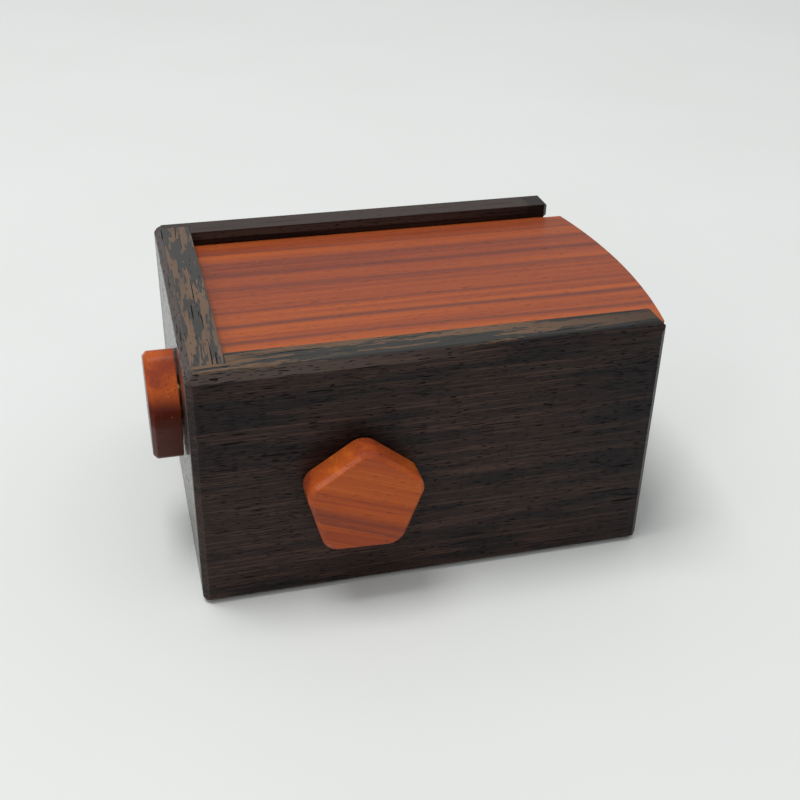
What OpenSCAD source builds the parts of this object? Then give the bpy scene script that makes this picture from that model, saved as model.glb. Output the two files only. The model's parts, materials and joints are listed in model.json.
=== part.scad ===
// Sliding-lid puzzle box with two turning knobs.
// Each knob turns a flat-sided disc behind a false wall. A disc holds the lid shut
// through a block under the lid, and lets it slide when its flat side is up.
// X runs along the box towards the lid's open end, Y from the front board to the
// back board, Z up. The origin is on the underside, at the middle of the carcass.

/* [Carcass] */
// Length of the carcass, along the lid's travel
body_l = 120; // [104:1:180]
// Width of the carcass, front board to back board
body_w = 94; // [84:1:150]
// Height of the carcass
body_h = 67; // [62:1:110]
// Thickness of the four wall boards
wall_t = 10; // [9:0.5:12]
// Depth of the corner rabbets that take the end boards
rabbet = 5; // [3:0.5:6]
// Chamfer along the top edges
top_chamfer = 2.3; // [0.5:0.1:3]
// Chamfer along the upright corners
corner_chamfer = 1.6; // [0.5:0.1:2.5]
// Chamfer across the top of the rails' right ends
rail_end_chamfer = 0.8; // [0.2:0.1:1.5]
// Chamfer up the inner corners of the rails' right ends
rail_corner_chamfer = 1.3; // [0.2:0.1:2.5]
// Chamfer along the bottom edges
foot_chamfer = 1.6; // [0.5:0.1:2.5]

/* [Bottom board] */
// Thickness of the bottom board
bottom_t = 5; // [3:0.5:8]
// Width of the ledge that the bottom board is glued to
bottom_ledge = 4; // [2:0.5:6]

/* [Lid] */
// Thickness of the lid
lid_t = 6; // [4:0.5:8]
// Depth of the lid's face below the top of the rails
lid_recess = 4.2; // [3:0.1:6]
// Depth of the grooves that the lid slides in
groove_depth = 3; // [2:0.25:4]
// How far the middle of the lid's bowed end stands past the rails
lid_overhang = 8; // [4:0.2:12]
// Radius of the lid's bowed end
lid_bow_r = 181; // [150:1:400]
// Clearance round the lid in its grooves
lid_gap = 0.2; // [0.1:0.05:0.4]

/* [Knobs] */
// Radius of a knob to its rounded corners
knob_r = 15.2; // [12:0.1:18]
// Radius of a knob's rounded corners
knob_round = 4.6; // [2:0.1:6]
// Thickness of a knob
knob_t = 7.8; // [6.5:0.1:12]
// Chamfer round a knob's outer face
knob_chamfer = 1.1; // [0.4:0.1:2]
// Front knob's distance from the left end of the box
front_knob_in = 40.7; // [38:0.1:60]
// Front knob's height
front_knob_z = 30.3; // [26:0.1:34]
// Turn of the front knob on its shaft, in degrees
front_knob_turn = 2.7; // [-10:0.1:10]
// Left knob's distance behind the front of the box
left_knob_in = 34; // [30:0.1:50]
// Left knob's height
left_knob_z = 42; // [36:0.1:44]
// Turn of the left knob on its shaft, in degrees
left_knob_turn = -8; // [-36:1:36]

/* [Shafts and discs] */
// Diameter of the shafts
shaft_d = 8; // [6:0.5:8]
// Radial clearance of a shaft in its bore
shaft_gap = 0.06; // [0.02:0.01:0.1]
// Depth of the socket that holds a shaft in its knob
knob_socket = 5; // [3:0.5:6]
// Thickness of the washers outside the boards
outer_washer_t = 0.4; // [0.3:0.1:1]
// Thickness of the washers inside the boards
inner_washer_t = 0.8; // [0.5:0.1:1.5]
// Diameter of all washers
washer_d = 12; // [10.5:0.5:12]
// Thickness of the locking discs
disc_t = 5; // [4:0.5:6]
// Radius of the front locking disc
front_disc_r = 18; // [14:0.2:21.6]
// Height of the front disc's flat above its shaft
front_flat_h = 10; // [9:0.5:12]
// Radius of the left locking disc
left_disc_r = 13.3; // [12.5:0.1:14]
// Height of the left disc's flat above its shaft
left_flat_h = 8.6; // [8.4:0.1:9]
// Diameter of the pins that fix the discs to their shafts
disc_pin_d = 1.6; // [1:0.1:2]
// How far the pins reach past the middle of the shafts
disc_pin_reach = 3; // [1:0.5:3.5]
// Diameter of the indexing magnets
magnet_d = 2.5; // [2:0.1:2.5]
// Thickness of the indexing magnets
magnet_t = 1.5; // [1:0.1:2]
// Distance of the magnets from the shaft
magnet_r = 8; // [7.6:0.1:8]

/* [Catch blocks and false walls] */
// Gap between a catch block and the disc that it passes
catch_gap = 0.7; // [0.4:0.1:1.5]
// Length of the front catch block, along the box
front_catch_l = 7.5; // [6:0.5:9]
// Thickness of the left catch block, along the box
left_catch_t = 4; // [3:0.5:6]
// Width of the left catch block
left_catch_w = 16; // [12:0.5:20]
// Thickness of the false walls
liner_t = 2; // [1.5:0.25:3]
// Gap between a locking disc and its false wall
liner_gap = 0.7; // [0.5:0.1:2]
// Diameter of the dowels in the catch blocks
dowel_d = 2; // [1.5:0.1:3]
// Depth of the dowels in the lid
dowel_in_lid = 3.5; // [2:0.25:3.5]
// Depth of the dowels in the catch blocks
dowel_in_block = 4; // [2:0.25:4.5]

/* [Hidden] */

$fn = 96;
eps = 0.01;

knob_sides = 5;
step_angle = 360 / knob_sides;

// Faces of the carcass
x0 = -body_l / 2;
x1 = body_l / 2;
y0 = -body_w / 2;
y1 = body_w / 2;
inner_x0 = x0 + wall_t;
inner_x1 = x1 - wall_t;
inner_y0 = y0 + wall_t;
inner_y1 = y1 - wall_t;

// The lid and its grooves
lid_z1 = body_h - lid_recess;
lid_z0 = lid_z1 - lid_t;
lid_x0 = inner_x0 - groove_depth + lid_gap;
lid_half_w = body_w / 2 - wall_t + groove_depth - lid_gap;
lid_free_half_w = body_w / 2 - wall_t - lid_gap;
end_board_h = lid_z0 - lid_gap;

// The stack on the front shaft, from the board inwards
front_knob_x = x0 + front_knob_in;
front_disc_y = inner_y0 + inner_washer_t;
front_liner_y = front_disc_y + disc_t + liner_gap;

// The stack on the left shaft: a bearing block fills the space behind the catch block
left_knob_y = y0 + left_knob_in;
left_catch_x = inner_x0 + catch_gap;
left_disc_x = left_catch_x + left_catch_t + catch_gap;
bearing_t = left_disc_x - inner_washer_t - inner_x0;
left_liner_x = left_disc_x + disc_t + liner_gap;
left_liner_h = left_knob_z + left_flat_h;
bearing_w = 20;
shaft_tip = 0.3;

// Catch blocks hang from the lid to just above the flats of the discs
front_catch_z = front_knob_z + front_flat_h + catch_gap;
left_catch_z = left_knob_z + left_flat_h + catch_gap;
front_catch_x1 = front_knob_x - front_disc_r - catch_gap;

module wenge() { color([0.16, 0.11, 0.08]) children(); }
module padauk() { color([0.62, 0.22, 0.10]) children(); }
module maple() { color([0.80, 0.66, 0.46]) children(); }
module brass() { color([0.80, 0.65, 0.30]) children(); }
module steel() { color([0.70, 0.70, 0.72]) children(); }

// A box from one corner to the opposite one
module block(low, high) { translate(low) cube(high - low); }

// A cylinder along Y or X that starts at a point
module bar_y(at, d, length) { translate(at) rotate([-90, 0, 0]) cylinder(d = d, h = length); }
module bar_x(at, d, length) { translate(at) rotate([0, 90, 0]) cylinder(d = d, h = length); }

// The carcass as one solid block with all its outer chamfers
module envelope() {
    intersection() {
        linear_extrude(body_h) polygon([
            [x0 + corner_chamfer, y0], [x1 - corner_chamfer, y0],
            [x1, y0 + corner_chamfer], [x1, y1 - corner_chamfer],
            [x1 - corner_chamfer, y1], [x0 + corner_chamfer, y1],
            [x0, y1 - corner_chamfer], [x0, y0 + corner_chamfer]
        ]);
        translate([x0, 0, 0]) rotate([90, 0, 90]) linear_extrude(body_l) polygon([
            [y0 + foot_chamfer, 0], [y1 - foot_chamfer, 0],
            [y1, foot_chamfer], [y1, body_h - top_chamfer],
            [y1 - top_chamfer, body_h], [y0 + top_chamfer, body_h],
            [y0, body_h - top_chamfer], [y0, foot_chamfer]
        ]);
        translate([0, y1, 0]) rotate([90, 0, 0]) linear_extrude(body_w) polygon([
            [x0 + foot_chamfer, 0], [x1 - foot_chamfer, 0],
            [x1, foot_chamfer], [x1, body_h - rail_end_chamfer],
            [x1 - rail_end_chamfer, body_h], [x0 + top_chamfer, body_h],
            [x0, body_h - top_chamfer],
            [x0, foot_chamfer]
        ]);
    }
}

// The space that the lid slides through, with its clearance
module lid_way() {
    block([inner_x0 - groove_depth, -lid_half_w - lid_gap, lid_z0 - lid_gap],
          [x1 + eps, lid_half_w + lid_gap, lid_z1 + lid_gap]);
}

// The bottom board's own space
module bottom_space() {
    block([inner_x0 - bottom_ledge, inner_y0 - bottom_ledge, -eps],
          [inner_x1 + bottom_ledge, inner_y1 + bottom_ledge, bottom_t]);
}

// The left and right end boards fill these spaces
module left_space() {
    block([x0 - eps, y0 + rabbet, -eps], [inner_x0, y1 - rabbet, body_h + eps]);
}
module right_space() {
    block([inner_x1, y0 + rabbet, -eps], [x1 + eps, y1 - rabbet, end_board_h]);
}

// What comes off the rails' inner corners, above the right end board
module rail_corners() {
    for (y = [inner_y0, inner_y1])
        translate([x1, y, end_board_h]) rotate([0, 0, 45])
            linear_extrude(body_h) square(sqrt(2) * rail_corner_chamfer, center = true);
}

// A full-length board with its rabbets and grooves, from y = low to y = high
module long_board(low, high) {
    difference() {
        intersection() {
            envelope();
            block([x0, low, 0], [x1, high, body_h]);
        }
        lid_way();
        bottom_space();
        left_space();
        right_space();
        rail_corners();
    }
}

// A knob lying on z = 0, with its chamfered face up and the shaft's socket below.
// Its first corner points along +Y.
module knob() {
    corner_r = knob_r - knob_round;
    chamfer_z = knob_t - knob_chamfer;
    difference() {
        hull() for (k = [0 : knob_sides - 1]) rotate([0, 0, 90 + k * step_angle])
            translate([corner_r, 0, 0]) {
                cylinder(r = knob_round, h = chamfer_z, $fn = 40);
                cylinder(r = knob_round - knob_chamfer, h = knob_t, $fn = 40);
            }
        translate([0, 0, -eps]) cylinder(d = shaft_d, h = knob_socket + eps);
    }
}

// A washer lying on z = 0
module washer(thickness) {
    linear_extrude(thickness) difference() {
        circle(d = washer_d);
        circle(d = shaft_d + 2 * shaft_gap);
    }
}

// Five magnet places round a shaft, on z = 0 and up; the first is opposite the flat
module magnet_ring(depth) {
    for (k = [0 : knob_sides - 1])
        rotate([0, 0, -90 + k * step_angle])
            translate([magnet_r, 0, 0]) cylinder(d = magnet_d, h = depth);
}

// A locking disc lying on z = 0: flat side towards +Y, magnets in its lower face
module disc(radius, flat_h) {
    difference() {
        cylinder(r = radius, h = disc_t, $fn = 160);
        block([-radius, flat_h, -eps], [radius, radius + eps, disc_t + eps]);
        translate([0, 0, -eps]) cylinder(d = shaft_d, h = disc_t + 2 * eps);
        translate([0, 0, -eps]) magnet_ring(magnet_t + eps);
        disc_pin(flat_h, eps);
    }
}

// The pin goes in through the flat, across the shaft
module disc_pin(flat_h, past = 0) {
    translate([0, -disc_pin_reach, disc_t / 2]) rotate([-90, 0, 0])
        cylinder(d = disc_pin_d, h = flat_h + disc_pin_reach + past);
}

// A shaft of this length lying along +Z from z = 0, with the pin's hole in it
module shaft(length, disc_at, flat_h) {
    difference() {
        cylinder(d = shaft_d, h = length);
        translate([0, 0, disc_at]) disc_pin(flat_h);
    }
}

// Local +Z points into the box and local +Y up, at the outer face of each board
module at_front(inwards) {
    translate([front_knob_x, y0 + inwards, front_knob_z]) rotate([90, 0, 180]) children();
}
module at_left(inwards) {
    translate([x0 + inwards, left_knob_y, left_knob_z]) rotate([90, 0, 90]) children();
}
// Local +Z points out of the box
module out_front(outwards) {
    translate([front_knob_x, y0 - outwards, front_knob_z]) rotate([90, 0, 0]) children();
}
module out_left(outwards) {
    translate([x0 - outwards, left_knob_y, left_knob_z]) rotate([90, 0, -90]) children();
}

front_shaft_l = knob_socket + outer_washer_t + wall_t + inner_washer_t + disc_t + shaft_tip;
left_shaft_l = front_shaft_l - inner_washer_t + left_disc_x - inner_x0;
front_disc_in = wall_t + inner_washer_t;
left_disc_in = left_disc_x - x0;
shaft_out = outer_washer_t + knob_socket;

module front_panel() {
    wenge() difference() {
        long_board(y0, inner_y0);
        bar_y([front_knob_x, y0 - eps, front_knob_z], shaft_d + 2 * shaft_gap, wall_t + 2 * eps);
        bar_y([front_knob_x, inner_y0 - magnet_t, front_knob_z - magnet_r], magnet_d, magnet_t + eps);
    }
}

module back_panel() {
    wenge() long_board(inner_y1, y1);
}

module left_panel() {
    wenge() difference() {
        intersection() {
            envelope();
            left_space();
        }
        lid_way();
        bottom_space();
        bar_x([x0 - eps, left_knob_y, left_knob_z], shaft_d + 2 * shaft_gap, wall_t + 2 * eps);
    }
}

module right_panel() {
    wenge() difference() {
        intersection() {
            envelope();
            right_space();
        }
        bottom_space();
    }
}

module bottom_panel() {
    wenge() block([inner_x0 - bottom_ledge, inner_y0 - bottom_ledge, 0],
                  [inner_x1 + bottom_ledge, inner_y1 + bottom_ledge, bottom_t]);
}

// False wall in front of the front disc, up to just under the lid
module front_liner() {
    maple() block([inner_x0, front_liner_y, bottom_t],
                  [inner_x1, front_liner_y + liner_t, end_board_h]);
}

// False wall in front of the left disc, low enough for the catch block to pass over
module left_liner() {
    maple() block([left_liner_x, front_liner_y + liner_t, bottom_t],
                  [left_liner_x + liner_t, inner_y1, left_liner_h]);
}

module left_bearing_block() {
    maple() difference() {
        block([inner_x0, left_knob_y - bearing_w / 2, left_knob_z - bearing_w / 2 - magnet_d],
              [inner_x0 + bearing_t, left_knob_y + bearing_w / 2, left_knob_z + left_flat_h]);
        bar_x([inner_x0 - eps, left_knob_y, left_knob_z], shaft_d + 2 * shaft_gap, bearing_t + 2 * eps);
        bar_x([inner_x0 + bearing_t - magnet_t, left_knob_y, left_knob_z - magnet_r],
              magnet_d, magnet_t + eps);
    }
}

// One magnet in the front board and one in the bearing block, below the shafts
module panel_magnets() {
    steel() {
        bar_y([front_knob_x, inner_y0 - magnet_t, front_knob_z - magnet_r], magnet_d, magnet_t);
        bar_x([inner_x0 + bearing_t - magnet_t, left_knob_y, left_knob_z - magnet_r],
              magnet_d, magnet_t);
    }
}

// The lid's tongues stop inside the grooves, so its free end is as narrow as the opening
module lid() {
    tongue_l = x1 - rail_corner_chamfer - lid_x0;
    padauk() difference() {
        translate([0, 0, lid_z0]) linear_extrude(lid_t) intersection() {
            translate([x1 + lid_overhang - lid_bow_r, 0]) circle(r = lid_bow_r, $fn = 720);
            union() {
                translate([lid_x0, -lid_half_w]) square([tongue_l, 2 * lid_half_w]);
                translate([lid_x0, -lid_free_half_w]) square([2 * body_l, 2 * lid_free_half_w]);
            }
        }
        dowels(dowel_in_lid, eps);
    }
}

// Two dowels hold each catch block, upright through the joint with the lid
module dowels(above, below) {
    front_x = front_catch_x1 - front_catch_l / 2;
    front_y = front_disc_y + disc_t / 2;
    left_x = left_catch_x + left_catch_t / 2;
    places = [
        [front_x - front_catch_l / 4, front_y], [front_x + front_catch_l / 4, front_y],
        [left_x, left_knob_y - left_catch_w / 4], [left_x, left_knob_y + left_catch_w / 4]
    ];
    for (p = places)
        translate([p[0], p[1], lid_z0 - below]) cylinder(d = dowel_d, h = above + below);
}

module catch_dowels() {
    maple() dowels(dowel_in_lid, dowel_in_block);
}

module front_catch_block() {
    padauk() difference() {
        block([front_catch_x1 - front_catch_l, front_disc_y, front_catch_z],
              [front_catch_x1, front_disc_y + disc_t, lid_z0]);
        dowels(eps, dowel_in_block);
    }
}

module left_catch_block() {
    padauk() difference() {
        block([left_catch_x, left_knob_y - left_catch_w / 2, left_catch_z],
              [left_catch_x + left_catch_t, left_knob_y + left_catch_w / 2, lid_z0]);
        dowels(eps, dowel_in_block);
    }
}

module front_knob() { padauk() out_front(outer_washer_t) rotate([0, 0, -front_knob_turn]) knob(); }
module front_shaft() {
    maple() at_front(-shaft_out) shaft(front_shaft_l, front_disc_in + shaft_out, front_flat_h);
}
module front_outer_washer() { brass() at_front(-outer_washer_t) washer(outer_washer_t); }
module front_inner_washer() { brass() at_front(wall_t) washer(inner_washer_t); }
module front_disc() { padauk() at_front(front_disc_in) disc(front_disc_r, front_flat_h); }
module front_disc_pin() { steel() at_front(front_disc_in) disc_pin(front_flat_h); }
module front_disc_magnets() { steel() at_front(front_disc_in) magnet_ring(magnet_t); }

module left_knob() { padauk() out_left(outer_washer_t) rotate([0, 0, left_knob_turn]) knob(); }
module left_shaft() {
    maple() at_left(-shaft_out) shaft(left_shaft_l, left_disc_in + shaft_out, left_flat_h);
}
module left_outer_washer() { brass() at_left(-outer_washer_t) washer(outer_washer_t); }
module left_inner_washer() { brass() at_left(left_disc_in - inner_washer_t) washer(inner_washer_t); }
module left_disc() { padauk() at_left(left_disc_in) disc(left_disc_r, left_flat_h); }
module left_disc_pin() { steel() at_left(left_disc_in) disc_pin(left_flat_h); }
module left_disc_magnets() { steel() at_left(left_disc_in) magnet_ring(magnet_t); }

front_panel();
back_panel();
left_panel();
right_panel();
bottom_panel();
front_liner();
left_liner();
left_bearing_block();
panel_magnets();
lid();
front_catch_block();
left_catch_block();
catch_dowels();
front_knob();
front_shaft();
front_outer_washer();
front_inner_washer();
front_disc();
front_disc_pin();
front_disc_magnets();
left_knob();
left_shaft();
left_outer_washer();
left_inner_washer();
left_disc();
left_disc_pin();
left_disc_magnets();
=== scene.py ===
import json
from math import cos, pi, radians, tan

import bmesh
import bpy
from mathutils import Matrix, Vector
from mathutils.bvhtree import BVHTree

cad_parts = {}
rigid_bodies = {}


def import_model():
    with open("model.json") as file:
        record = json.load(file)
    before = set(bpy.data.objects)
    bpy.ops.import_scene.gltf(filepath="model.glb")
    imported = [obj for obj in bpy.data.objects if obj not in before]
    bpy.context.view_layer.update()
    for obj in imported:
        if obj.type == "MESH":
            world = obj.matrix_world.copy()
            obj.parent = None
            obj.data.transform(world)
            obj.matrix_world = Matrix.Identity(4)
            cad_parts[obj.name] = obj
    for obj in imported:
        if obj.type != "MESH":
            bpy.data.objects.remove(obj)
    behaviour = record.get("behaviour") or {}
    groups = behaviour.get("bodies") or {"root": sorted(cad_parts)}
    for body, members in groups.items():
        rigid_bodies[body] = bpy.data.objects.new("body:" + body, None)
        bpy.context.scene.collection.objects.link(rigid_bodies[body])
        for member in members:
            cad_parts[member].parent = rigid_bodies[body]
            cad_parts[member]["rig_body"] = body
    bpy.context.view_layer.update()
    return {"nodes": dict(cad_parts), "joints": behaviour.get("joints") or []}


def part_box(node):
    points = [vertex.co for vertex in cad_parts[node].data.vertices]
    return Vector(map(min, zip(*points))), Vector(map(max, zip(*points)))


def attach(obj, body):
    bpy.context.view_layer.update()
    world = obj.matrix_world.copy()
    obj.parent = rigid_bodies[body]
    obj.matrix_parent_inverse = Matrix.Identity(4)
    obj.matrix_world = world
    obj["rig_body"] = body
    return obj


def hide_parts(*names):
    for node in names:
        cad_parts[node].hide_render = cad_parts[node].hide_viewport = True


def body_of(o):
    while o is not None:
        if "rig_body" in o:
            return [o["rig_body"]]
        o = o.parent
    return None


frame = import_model()
scene = bpy.context.scene
mm = 0.001

# The camera stands at the front left and looks down on the lid, at the distance at which
# the box is held to look at it. Depth of field stays off.
camera_at = Vector((-72.3, -276.7, 197.6)) * mm
camera_turn = Matrix.Rotation(radians(-15.33), 4, "Z")
camera_tilt = Matrix.Rotation(radians(90 - 30.99), 4, "X")
camera_roll = Matrix.Rotation(radians(1.28), 4, "Z")
camera_data = bpy.data.cameras.new("camera")
camera_data.sensor_width = 36
camera_data.lens = 51.73
camera_data.clip_start = 0.01
camera = bpy.data.objects.new("camera", camera_data)
camera.matrix_world = Matrix.Translation(camera_at) @ camera_turn @ camera_tilt @ camera_roll
scene.collection.objects.link(camera)
scene.camera = camera
scene.view_settings.view_transform = "Standard"


# Floor: a plain pale sheet, so wide that the camera doesn't see its edge. It isn't part of
# the box.
class Wire:
    """One output of a material's nodes. Arithmetic on wires adds Math nodes."""

    def __init__(self, tree, socket=None):
        self.tree = tree
        self.socket = socket

    def node(self, kind, settings=(), sockets=(), output=0):
        """A new node: its settings are made first, then the values or wires of its sockets."""
        made = self.tree.nodes.new(kind)
        for name, value in dict(settings).items():
            setattr(made, name, value)
        for key, value in dict(sockets).items():
            if isinstance(value, Wire):
                self.tree.links.new(value.socket, made.inputs[key])
            else:
                made.inputs[key].default_value = value
        return Wire(self.tree, made.outputs[output] if len(made.outputs) else None)

    def math(self, operation, first, second=0.0):
        return self.node("ShaderNodeMath", {"operation": operation}, {0: first, 1: second})

    def __add__(self, other):
        return self.math("ADD", self, other)

    def __radd__(self, other):
        return self.math("ADD", other, self)

    def __sub__(self, other):
        return self.math("SUBTRACT", self, other)

    def __rsub__(self, other):
        return self.math("SUBTRACT", other, self)

    def __mul__(self, other):
        return self.math("MULTIPLY", self, other)

    def __rmul__(self, other):
        return self.math("MULTIPLY", other, self)


def rise(value, low, high):
    """0 below low, 1 above high, and smooth between them."""
    sockets = {0: value, 1: low, 2: high}
    return value.node("ShaderNodeMapRange", {"interpolation_type": "SMOOTHSTEP"}, sockets)


def tint(under, over, share):
    """The colour under, covered by the colour over where share is 1."""
    return share.node("ShaderNodeMix", {"data_type": "RGBA"}, {0: share, 6: under, 7: over}, 2)


def colour(red, green, blue):
    return (red, green, blue, 1.0)


def new_material(name):
    """A material with no nodes yet, and a bare wire to start them from."""
    material = bpy.data.materials.new(name)
    material.use_nodes = True
    material.node_tree.nodes.clear()
    return material, Wire(material.node_tree)


def blots(at, size, detail=1.0):
    """Noise with blots of this size along, across and through, in the unit of at."""
    scaled = at.node("ShaderNodeVectorMath", {"operation": "DIVIDE"}, {0: at, 1: size})
    return at.node("ShaderNodeTexNoise", {}, {"Vector": scaled, "Scale": 1.0, "Detail": detail})


floor_size = 12.0
floor_drop = 0.05 * mm
floor_mesh = bmesh.new()
bmesh.ops.create_grid(floor_mesh, x_segments=1, y_segments=1, size=floor_size / 2)
bmesh.ops.translate(floor_mesh, verts=floor_mesh.verts, vec=(0, 0, -floor_drop))
floor_data = bpy.data.meshes.new("floor")
floor_mesh.to_mesh(floor_data)
floor_mesh.free()
floor = bpy.data.objects.new("floor", floor_data)
scene.collection.objects.link(floor)
floor_paint, wire = new_material("pale_floor")
place = wire.node("ShaderNodeTexCoord", output=3)
clouds = wire.node("ShaderNodeTexNoise", {}, {"Vector": place, "Scale": 9.0, "Detail": 3.0})
paint = tint(colour(0.74, 0.755, 0.73), colour(0.79, 0.80, 0.785), clouds)
shader = wire.node("ShaderNodeBsdfPrincipled", {}, {"Base Color": paint, "Roughness": 0.75})
wire.node("ShaderNodeOutputMaterial", {}, {"Surface": shader})
floor_data.materials.append(floor_paint)

# Light: a pale room that is brightest overhead and dim behind the camera, a wide soft lamp
# overhead to the left, and a small one at the front left that glints on chamfers.
room = bpy.data.worlds.new("room")
room.use_nodes = True
room_air = room.node_tree.nodes["Background"]
sky = Wire(room.node_tree)
toward = sky.node("ShaderNodeTexCoord", output=0)
toward_back = sky.node("ShaderNodeSeparateXYZ", {}, {0: toward}, 1)
upward = sky.node("ShaderNodeSeparateXYZ", {}, {0: toward}, 2)
overhead = rise(upward, 0.30, 0.95)
air = tint(colour(0.37, 0.375, 0.37), colour(0.66, 0.68, 0.69), overhead)
dim_side = rise(0 - toward_back - 0.9 * upward, 0.0, 0.8)
air = tint(air, colour(0.22, 0.21, 0.20), dim_side)
sky.tree.links.new(air.socket, room_air.inputs["Color"])
room_air.inputs["Strength"].default_value = 1.0
scene.world = room
for lamp_name, lamp_at, lamp_width, lamp_watts in (
    ("lamp_above", Vector((-0.45, 0.10, 1.95)), 0.80, 21.0),
    ("lamp_front", Vector((-0.76, -0.76, 0.66)), 0.24, 1.1),
):
    lamp_data = bpy.data.lights.new(lamp_name, "AREA")
    lamp_data.size = lamp_width
    lamp_data.energy = lamp_watts
    lamp = bpy.data.objects.new(lamp_name, lamp_data)
    lamp.location = lamp_at
    lamp.rotation_euler = (-lamp_at).to_track_quat("-Z", "Y").to_euler()
    scene.collection.objects.link(lamp)


# Front board: a full-length wall board of wenge, rabbeted at both ends, grooved for the lid
# and bored for the knob's shaft. Its arrises are eased by hand, and the satin lacquer is thin.
board_nodes = ("front_panel", "back_panel", "left_panel", "right_panel", "bottom_panel")
board_ease = 0.25 * mm
touching = 0.02 * mm
flat_turn = radians(0.5)
sharp_turn = radians(10)
arris_turn = radians(20)


def shell(node):
    """A CAD node's mesh, with its triangles joined to whole faces."""
    mesh = bmesh.new()
    mesh.from_mesh(frame["nodes"][node].data)
    bmesh.ops.remove_doubles(mesh, verts=mesh.verts, dist=0.001 * mm)
    bmesh.ops.dissolve_limit(mesh, angle_limit=flat_turn, verts=mesh.verts, edges=mesh.edges)
    return mesh


def is_arris(edge):
    return edge.is_convex and edge.calc_face_angle(0.0) > arris_turn


def ease(mesh, width, neighbours=()):
    """Rounds the arrises a little, apart from those that meet a neighbour at a glued joint."""
    walls = []
    for node in neighbours:
        wall = shell(node)
        walls.append(BVHTree.FromBMesh(wall))
        wall.free()
    arrises = []
    for edge in mesh.edges:
        if not is_arris(edge):
            continue
        ends = edge.verts[0].co, edge.verts[1].co
        spots = [ends[0].lerp(ends[1], share) for share in (0.25, 0.5, 0.75)]
        gaps = [wall.find_nearest(spot)[3] for wall in walls for spot in spots]
        if not gaps or min(gaps) > touching:
            arrises.append(edge)
    bmesh.ops.bevel(
        mesh, geom=arrises, offset=width, offset_type="OFFSET", affect="EDGES",
        segments=2, profile=0.5, material=-1, clamp_overlap=True,
    )


def piece(name, mesh, material):
    """An object at the origin, flat where it is flat and smooth round its curves."""
    data = bpy.data.meshes.new(name)
    mesh.to_mesh(data)
    mesh.free()
    data.shade_smooth()
    data.set_sharp_from_angle(angle=sharp_turn)
    data.materials.append(material)
    made = bpy.data.objects.new(name, data)
    scene.collection.objects.link(made)
    return made


def board(name, node, material):
    """A wall board, eased except along its joints with the other boards."""
    mesh = shell(node)
    ease(mesh, board_ease, [other for other in board_nodes if other != node])
    return piece(name, mesh, material)


def along_grain(wire, turns=(0.0, 0.0, 0.0), offset=(0.0, 0.0, 0.0)):
    """The place on the object, and the same in millimetres, turned to lie along the grain.

    offset moves the pattern, so that no two boards have the same figure.
    """
    place = wire.node("ShaderNodeTexCoord", output=3)
    at = wire.node("ShaderNodeMapping", {"vector_type": "POINT"}, {
        "Vector": place, "Scale": (1 / mm, 1 / mm, 1 / mm), "Rotation": turns,
        "Location": offset})
    return place, at


board_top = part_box("front_panel")[1].z / mm
board_chamfer = 2.3
# How far before and after dark_end the painted chamfer sheen fades out, in millimetres.
chamfer_sheen_fade = (50, 20)


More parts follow.
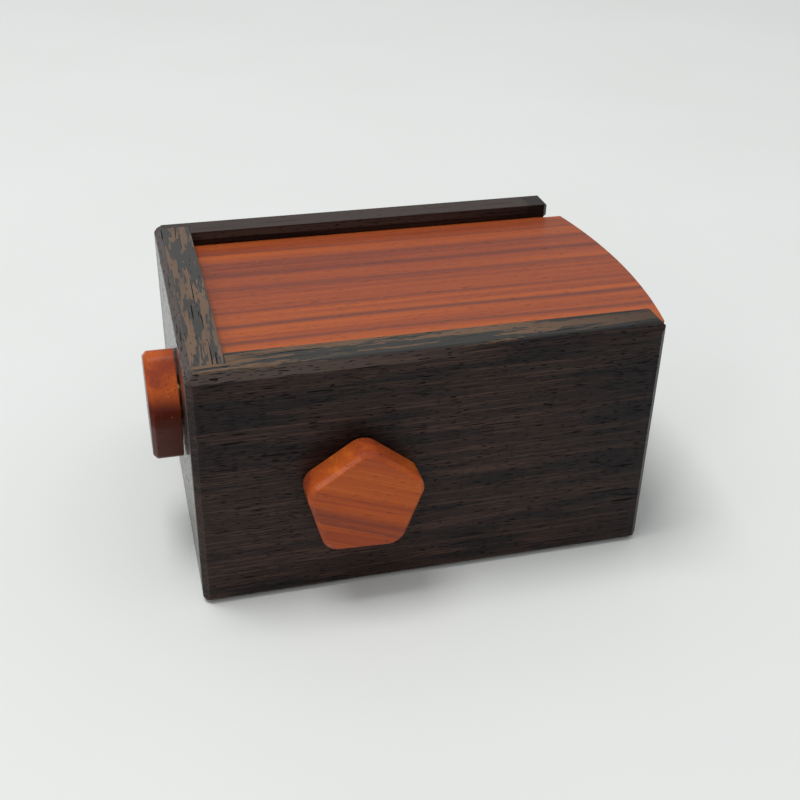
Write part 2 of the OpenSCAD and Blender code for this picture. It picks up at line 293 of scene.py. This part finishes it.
def wenge(name, grain_turn=0.0, offset=(0.0, 0.0, 0.0), flame=(26, 2.0, 6), figured=True,
          gloss=0.45, haze=0.34, brown=(0.062, 0.0315, 0.0225), dark_end=(90, 91)):
    """Wenge: near black, with fine brown lines and open pores, a tan figure on its top, and a
    painted sheen on the chamfer below its top.

    flame is the size of the figure's tan blots along, across and down. dark_end is where
    the colour turns darker towards the board's end, measured along its grain from the
    pattern's own start; the painted chamfer sheen fades out there too. All are in
    millimetres.
    """
    material, wire = new_material(name)
    place, at = along_grain(wire, (0, 0, grain_turn), offset)
    along = wire.node("ShaderNodeSeparateXYZ", {}, {0: at}, 0)
    height = wire.node("ShaderNodeSeparateXYZ", {}, {0: place}, 2) * (1 / mm)
    chamfer_foot = board_top - board_chamfer
    on_top = rise(height, board_top - 0.7, board_top - 0.1)
    # Painted sheen: the chamfer below the top is painted lighter, as the light it catches, and
    # this fades out towards dark_end.
    painted_chamfer_sheen = rise(height, chamfer_foot - 0.3, chamfer_foot + 0.2) * (1.0 - on_top)
    fade_from = dark_end[0] - chamfer_sheen_fade[0]
    fade_to = dark_end[0] + chamfer_sheen_fade[1]
    painted_chamfer_sheen = painted_chamfer_sheen * (1.0 - rise(along, fade_from, fade_to))

    fibre = blots(at, (11, 0.24, 0.22), 2.0)
    lines = blots(at, (60, 1.6, 0.50), 2.0)
    broad = blots(at, (40, 8, 4.5), 2.0)
    zone = rise(broad, 0.47, 0.60)
    light = rise(lines * 0.6 + fibre * 0.4, 0.45, 0.62) * (1.0 - 0.65 * zone)
    dark = tint(colour(0.0210, 0.0104, 0.0085), colour(0.0074, 0.0045, 0.0053), zone)
    side = tint(dark, colour(*brown), light)
    # The painted chamfer sheen, a lighter brown-grey.
    side = tint(side, colour(0.072, 0.051, 0.043), painted_chamfer_sheen * (0.55 + 0.5 * fibre))

    if figured:
        ragged = blots(at, (4.0, 0.40, 1.2), 1.0) - 0.5
        flames = blots(at, flame, 1.0) + 0.42 * ragged
        tan = rise(flames, 0.495, 0.53)
        slate = tint(colour(0.031, 0.033, 0.033), colour(0.048, 0.044, 0.040), fibre)
        ochre = tint(colour(0.105, 0.060, 0.036), colour(0.190, 0.112, 0.069), broad)
        top = tint(slate, ochre, tan * (0.5 + 0.8 * fibre))
    else:
        top = tint(colour(0.052, 0.035, 0.031), colour(0.038, 0.027, 0.025), fibre)
    wood = tint(side, top, on_top)
    # Towards dark_end the colour turns darker, 60 percent of the way to near black.
    wood = tint(wood, colour(0.006, 0.004, 0.005), rise(along, *dark_end) * 0.6)

    pore_edge = 0.705 - 0.05 * zone + 0.10 * on_top
    pores = rise(blots(at, (2.4, 0.29, 0.23), 0.0), pore_edge - 0.02, pore_edge + 0.02)
    checks = rise(blots(at, (20, 0.42, 0.40), 0.0), 0.755, 0.78)
    hollow = wire.math("MAXIMUM", pores, checks)
    wood = tint(wood, colour(0.0022, 0.0018, 0.0022), hollow * 0.95)

    normal = wire.node("ShaderNodeBump", {}, {
        "Height": fibre * 0.25 - hollow, "Strength": 0.55, "Distance": 0.09 * mm})
    shader = wire.node("ShaderNodeBsdfPrincipled", {}, {
        "Base Color": wood, "Roughness": 0.36 + 0.12 * fibre + 0.25 * hollow,
        "Specular IOR Level": 0.10, "Coat Weight": gloss * (1.0 - hollow),
        "Coat Roughness": haze, "Coat IOR": 1.45, "Normal": normal})
    wire.node("ShaderNodeOutputMaterial", {}, {"Surface": shader})
    return material


front_board = board("front_board", "front_panel", wenge(
    "wenge_front", grain_turn=radians(-2), flame=(30, 2.2, 9), gloss=0.22, dark_end=(5, 70)))
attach(front_board, "carcass")
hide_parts("front_panel")

# Back board: the same as the front board with no bore, from the plainer end of the plank.
# Its brown lines are painted near black: painted shade for its inner wall, which lies in shade
# under the lid.
back_board = board("back_board", "back_panel", wenge(
    "wenge_back", offset=(37, 61, 0), figured=False, gloss=0.3,
    brown=(0.008, 0.0035, 0.0030)))
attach(back_board, "carcass")
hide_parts("back_panel")

# Left end board: a short board of wenge between the long ones, glued into their rabbets, with
# the left knob's bore. Its grain runs across the box, its top shows the boldest figure, and
# its outside has a thicker and glossier lacquer.
left_board = board("left_board", "left_panel", wenge(
    "wenge_left", grain_turn=radians(-88), offset=(11, 23, 0), flame=(12, 1.6, 9), gloss=0.6,
    haze=0.14))
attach(left_board, "carcass")
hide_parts("left_panel")

# Right end board: lower than the others, so that the lid slides out over it.
right_board = board("right_board", "right_panel", wenge(
    "wenge_right", grain_turn=radians(-90), offset=(71, -15, 0)))
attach(right_board, "carcass")
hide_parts("right_panel")

# Bottom board: glued flush into a ledge round the underside of the four walls.
bottom_board = board("bottom_board", "bottom_panel", wenge("wenge_bottom", offset=(-41, 9, 55)))
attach(bottom_board, "carcass")
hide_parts("bottom_panel")


# Lid: one flat board of padauk that slides in the grooves. Its free end is sawn to a shallow
# bow and eased by hand. It is quarter-sawn, so its bands run straight along it.
satin_padauk = (
    colour(0.185, 0.038, 0.020), colour(0.290, 0.058, 0.019), colour(0.410, 0.086, 0.016))


def padauk(name, turns=(0.0, 0.0, 0.0), offset=(0.0, 0.0, 0.0), tones=satin_padauk,
           band=6.0, growth_lines=(), orange_beyond=(), painted_shade_below=(), roughness=0.38,
           specular=0.37):
    """Padauk in straight bands of three tones, with open pores and pale specks of filled pores
    painted bright as glints.

    Each of growth_lines is a dark line's place across the board, its width and its depth of
    colour. Between the two places of a pair in orange_beyond the wood turns more orange,
    and below the pair of heights in painted_shade_below it is painted dark, as shade on the lower
    faces. All are millimetres.
    """
    material, wire = new_material(name)
    place, at = along_grain(wire, turns, offset)
    across = wire.node("ShaderNodeSeparateXYZ", {}, {0: at}, 1)
    bands = blots(at, (300, band, 14), 1.0)
    lines = blots(at, (150, 0.30 * band, 4.0), 2.0)
    fibre = blots(at, (16, 0.30, 0.35), 2.0)

    thin = blots(at, (50, 0.55, 1.5), 1.0)
    tone = bands * 0.46 + lines * 0.26 + thin * 0.14 + fibre * 0.14
    for near, far in orange_beyond:
        outward = 1 if far > near else -1
        tone = tone + 0.13 * rise(across * outward, near * outward, far * outward)
    dark, middle, bright = tones
    wood = tint(dark, middle, rise(tone, 0.38, 0.52))
    wood = tint(wood, bright, rise(tone, 0.50, 0.66))
    wander = 2.4 * (blots(at, (70, 60, 60), 0.0) - 0.5)
    for line_at, line_width, line_depth in growth_lines:
        away = wire.math("ABSOLUTE", across + wander - line_at)
        shade = line_depth * (1.0 - rise(away + 0.5 * fibre, 0.1, line_width))
        wood = tint(wood, colour(0.105, 0.030, 0.028), shade)
    # Painted shade: below the given heights the wood is painted dark, as shade on the faces
    # turned down from the light.
    for low, high in painted_shade_below:
        level = wire.node("ShaderNodeSeparateXYZ", {}, {0: place}, 2) * (1 / mm)
        shade = 0.93 * (1.0 - rise(level + 3.0 * bands, low, high))
        wood = tint(wood, colour(0.056, 0.0070, 0.0030), shade)
    pores = rise(blots(at, (2.6, 0.26, 0.30), 0.0), 0.735, 0.775)
    wood = tint(wood, colour(0.075, 0.018, 0.010), pores * 0.72)
    # Pale specks: filled pore ends, painted bright as the glints they throw.
    pore_fill_glints = rise(blots(at, (0.50, 0.30, 0.30), 0.0), 0.82, 0.86)
    wood = tint(wood, colour(0.70, 0.36, 0.20), pore_fill_glints * 0.6)

    normal = wire.node("ShaderNodeBump", {}, {
        "Height": fibre * 0.3 - pores, "Strength": 0.45, "Distance": 0.07 * mm})
    shader = wire.node("ShaderNodeBsdfPrincipled", {}, {
        "Base Color": wood, "Roughness": roughness + 0.10 * (fibre - 0.5) + 0.2 * pores,
        "Specular IOR Level": specular, "Normal": normal})
    wire.node("ShaderNodeOutputMaterial", {}, {"Surface": shader})
    return material


lid_ease = 0.35 * mm
lid_mesh = shell("lid")
ease(lid_mesh, lid_ease)
lid_lines = (
    (-25.2, 2.2, 0.70), (-16.4, 2.4, 0.80), (-8.0, 1.4, 0.40), (5.2, 1.9, 0.55),
    (14.0, 1.2, 0.40), (21.3, 2.1, 0.50), (29.0, 1.8, 0.45))
lid = piece("sliding_lid", lid_mesh, padauk(
    "padauk_lid", growth_lines=lid_lines, orange_beyond=((33, 41), (-8, -24))))
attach(lid, "lid")
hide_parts("lid")

# Front knob: five-sided with round corners, sawn from a padauk board, chamfered round its
# outer face and polished. It is glued on the shaft by a blind socket in its back.
polished_padauk = (
    colour(0.30, 0.052, 0.020), colour(0.45, 0.085, 0.017), colour(0.60, 0.135, 0.020))
knob_sides = 5
knob_corner_r = 15.2 * mm
knob_round_r = 4.6 * mm
knob_chamfer = 1.1 * mm
knob_ease = 0.22 * mm
corner_steps = 12
socket_r = 4.0 * mm
socket_depth = 5.0 * mm


def outline_edges(mesh, height):
    """The edges that lie at one height."""
    level = 0.001 * mm
    return [edge for edge in mesh.edges
            if all(abs(vert.co.z - height) < level for vert in edge.verts)]


def knob(name, node, stand, turn, material):
    """A knob in the place of a CAD node. stand turns it from lying face up to its place."""
    low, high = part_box(node)
    thickness = min(high - low)
    half_turn = pi / knob_sides
    side_away = (knob_corner_r - knob_round_r) * cos(half_turn) + knob_round_r
    mesh = bmesh.new()
    bmesh.ops.create_circle(
        mesh, cap_ends=True, segments=knob_sides, radius=side_away / cos(half_turn))
    bmesh.ops.bevel(
        mesh, geom=mesh.verts[:], offset=knob_round_r * tan(half_turn), offset_type="OFFSET",
        affect="VERTICES", segments=corner_steps, profile=0.5, material=-1)
    outline = bmesh.ops.extrude_face_region(mesh, geom=mesh.faces[:])["geom"]
    raised = [item for item in outline if isinstance(item, bmesh.types.BMVert)]
    bmesh.ops.translate(mesh, verts=raised, vec=(0, 0, thickness))
    bmesh.ops.bevel(
        mesh, geom=outline_edges(mesh, thickness), offset=knob_chamfer, offset_type="OFFSET",
        affect="EDGES", segments=1, profile=0.5, material=-1)
    ease(mesh, knob_ease)

    back = min(mesh.faces, key=lambda face: face.calc_center_median().z)
    rim = list(back.edges)
    bmesh.ops.delete(mesh, geom=[back], context="FACES_ONLY")
    made = bmesh.ops.create_circle(mesh, segments=len(rim), radius=socket_r)["verts"]
    mouth = list({edge for vert in made for edge in vert.link_edges})
    bmesh.ops.bridge_loops(mesh, edges=rim + mouth)
    inner = bmesh.ops.extrude_edge_only(mesh, edges=mouth)["geom"]
    floor_verts = [item for item in inner if isinstance(item, bmesh.types.BMVert)]
    bmesh.ops.translate(mesh, verts=floor_verts, vec=(0, 0, socket_depth))
    bmesh.ops.contextual_create(
        mesh, geom=[item for item in inner if isinstance(item, bmesh.types.BMEdge)])
    bmesh.ops.recalc_face_normals(mesh, faces=mesh.faces)

    joint = next(j for j in frame["joints"] if j["name"] == node + "_turn")
    axis = Vector(joint["axis"])
    seat = Vector(joint["pos_m"])
    seat += axis * (high.dot(axis) - seat.dot(axis))
    mesh.transform(Matrix.Translation(seat) @ stand @ Matrix.Rotation(turn, 4, "Z"))
    return piece(name, mesh, material)


face_front = Matrix.Rotation(radians(90), 4, "X")
front_knob = knob("turning_knob_front", "front_knob", face_front, radians(-2.7), padauk(
    "padauk_knob_front", turns=(radians(-90), 0, radians(21)), offset=(3, 8, 0),
    tones=polished_padauk, band=8.0, growth_lines=((22.3, 1.3, 0.6), (24.4, 3.2, 0.45)),
    roughness=0.26, specular=0.18))
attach(front_knob, "front_lock")
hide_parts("front_knob")

# Left knob: the same knob, on the left end board. Its grain is nearly level, and its lower
# part is painted dark, as shade on the faces turned down and away from the light.
face_left = Matrix.Rotation(radians(-90), 4, "Z") @ face_front
left_knob = knob("turning_knob_left", "left_knob", face_left, radians(-8), padauk(
    "padauk_knob_left", turns=(radians(-90), radians(90), radians(8)), offset=(40, -6, 9),
    tones=polished_padauk, band=6.0, painted_shade_below=((47.5, 52.5),),
    roughness=0.30, specular=0.12))
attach(left_knob, "left_lock")
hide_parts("left_knob")

# Locking discs and catch blocks: padauk, sanded but not lacquered. The discs are turned and
# have one flat side, and the blocks are dowelled under the lid.
inner_ease = 0.2 * mm
raw_padauk = padauk("padauk_inside", offset=(90, 30, 5), roughness=0.55)
for node in ("front_disc", "left_disc", "front_catch_block", "left_catch_block"):
    mesh = shell(node)
    ease(mesh, inner_ease)
    inner_piece = piece(node + "_padauk", mesh, raw_padauk)
    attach(inner_piece, body_of(frame["nodes"][node])[0])
    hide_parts(node)


# False walls, bearing block, shafts and dowels: maple, sanded smooth and left bare. They are
# glued in before the bottom board goes on.
def maple(name, turns=(0.0, 0.0, 0.0)):
    """Pale even maple with faint growth lines and short flecks."""
    material, wire = new_material(name)
    at = along_grain(wire, turns)[1]
    growth = blots(at, (160, 3.0, 9), 2.0)
    fibre = blots(at, (8, 0.25, 0.3), 2.0)
    fleck = rise(blots(at, (1.4, 0.22, 0.3), 0.0), 0.70, 0.76)
    wood = tint(colour(0.62, 0.43, 0.25), colour(0.76, 0.58, 0.38), rise(growth, 0.35, 0.62))
    wood = tint(wood, colour(0.46, 0.29, 0.15), fleck * 0.4 + (1 - fibre) * 0.12)
    normal = wire.node("ShaderNodeBump", {}, {
        "Height": fibre, "Strength": 0.3, "Distance": 0.05 * mm})
    shader = wire.node("ShaderNodeBsdfPrincipled", {}, {
        "Base Color": wood, "Roughness": 0.5 + 0.12 * fibre, "Normal": normal})
    wire.node("ShaderNodeOutputMaterial", {}, {"Surface": shader})
    return material


maple_x = maple("maple_along_box")
maple_y = maple("maple_across_box", (0, 0, radians(-90)))
maple_z = maple("maple_upright", (0, radians(90), 0))
false_walls = (("front_liner", maple_x), ("left_liner", maple_y), ("left_bearing_block", maple_y))
rods = (("front_shaft", maple_y), ("left_shaft", maple_x), ("catch_dowels", maple_z))
for node, wood in false_walls:
    mesh = shell(node)
    ease(mesh, inner_ease)
    wall = piece(node + "_maple", mesh, wood)
    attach(wall, "carcass")
    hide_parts(node)
for node, wood in rods:
    rod = frame["nodes"][node].data
    rod.materials.clear()
    rod.materials.append(wood)


# Washers: thin turned brass rings outside and inside each board, with the lathe's fine rings.
rings_per_mm = 6


def turned_brass(name, axis, centre):
    """Darkened brass, with fine rings round the axis from the lathe tool."""
    material, wire = new_material(name)
    place = wire.node("ShaderNodeTexCoord", output=3)
    off = wire.node("ShaderNodeVectorMath", {"operation": "SUBTRACT"}, {0: place, 1: centre})
    flat = wire.node("ShaderNodeVectorMath", {"operation": "MULTIPLY"}, {
        0: off, 1: [1 - abs(part) for part in axis]})
    radius = wire.node("ShaderNodeVectorMath", {"operation": "LENGTH"}, {0: flat}, 1)
    rings = wire.node("ShaderNodeTexNoise", {"noise_dimensions": "1D"}, {
        "W": radius * (rings_per_mm / mm), "Scale": 1.0, "Detail": 2.0})
    stain = blots(place, (4 * mm, 4 * mm, 4 * mm), 2.0)
    metal = tint(colour(0.44, 0.31, 0.15), colour(0.16, 0.11, 0.06), rise(stain, 0.35, 0.65))
    normal = wire.node("ShaderNodeBump", {}, {
        "Height": rings, "Strength": 0.4, "Distance": 0.02 * mm})
    shader = wire.node("ShaderNodeBsdfPrincipled", {}, {
        "Base Color": metal, "Metallic": 1.0, "Roughness": 0.26 + 0.14 * stain,
        "Normal": normal})
    wire.node("ShaderNodeOutputMaterial", {}, {"Surface": shader})
    return material


for side in ("front", "left"):
    joint = next(j for j in frame["joints"] if j["name"] == side + "_knob_turn")
    brass = turned_brass("brass_" + side, joint["axis"], joint["pos_m"])
    for node in (side + "_outer_washer", side + "_inner_washer"):
        ring = frame["nodes"][node].data
        ring.materials.clear()
        ring.materials.append(brass)

# Pins and magnets: plain steel, pressed in. The magnets in the discs meet the fixed ones, so
# that a knob clicks at each of its five positions.
steel, wire = new_material("plain_steel")
place = wire.node("ShaderNodeTexCoord", output=3)
scratches = blots(place, (0.4 * mm, 0.4 * mm, 6 * mm), 2.0)
metal = tint(colour(0.58, 0.58, 0.60), colour(0.72, 0.72, 0.74), scratches)
normal = wire.node("ShaderNodeBump", {}, {
    "Height": scratches, "Strength": 0.3, "Distance": 0.02 * mm})
shader = wire.node("ShaderNodeBsdfPrincipled", {}, {
    "Base Color": metal, "Metallic": 1.0, "Roughness": 0.28 + 0.15 * scratches,
    "Normal": normal})
wire.node("ShaderNodeOutputMaterial", {}, {"Surface": shader})
for node in ("panel_magnets", "front_disc_pin", "left_disc_pin",
             "front_disc_magnets", "left_disc_magnets"):
    bar = frame["nodes"][node].data
    bar.materials.clear()
    bar.materials.append(steel)
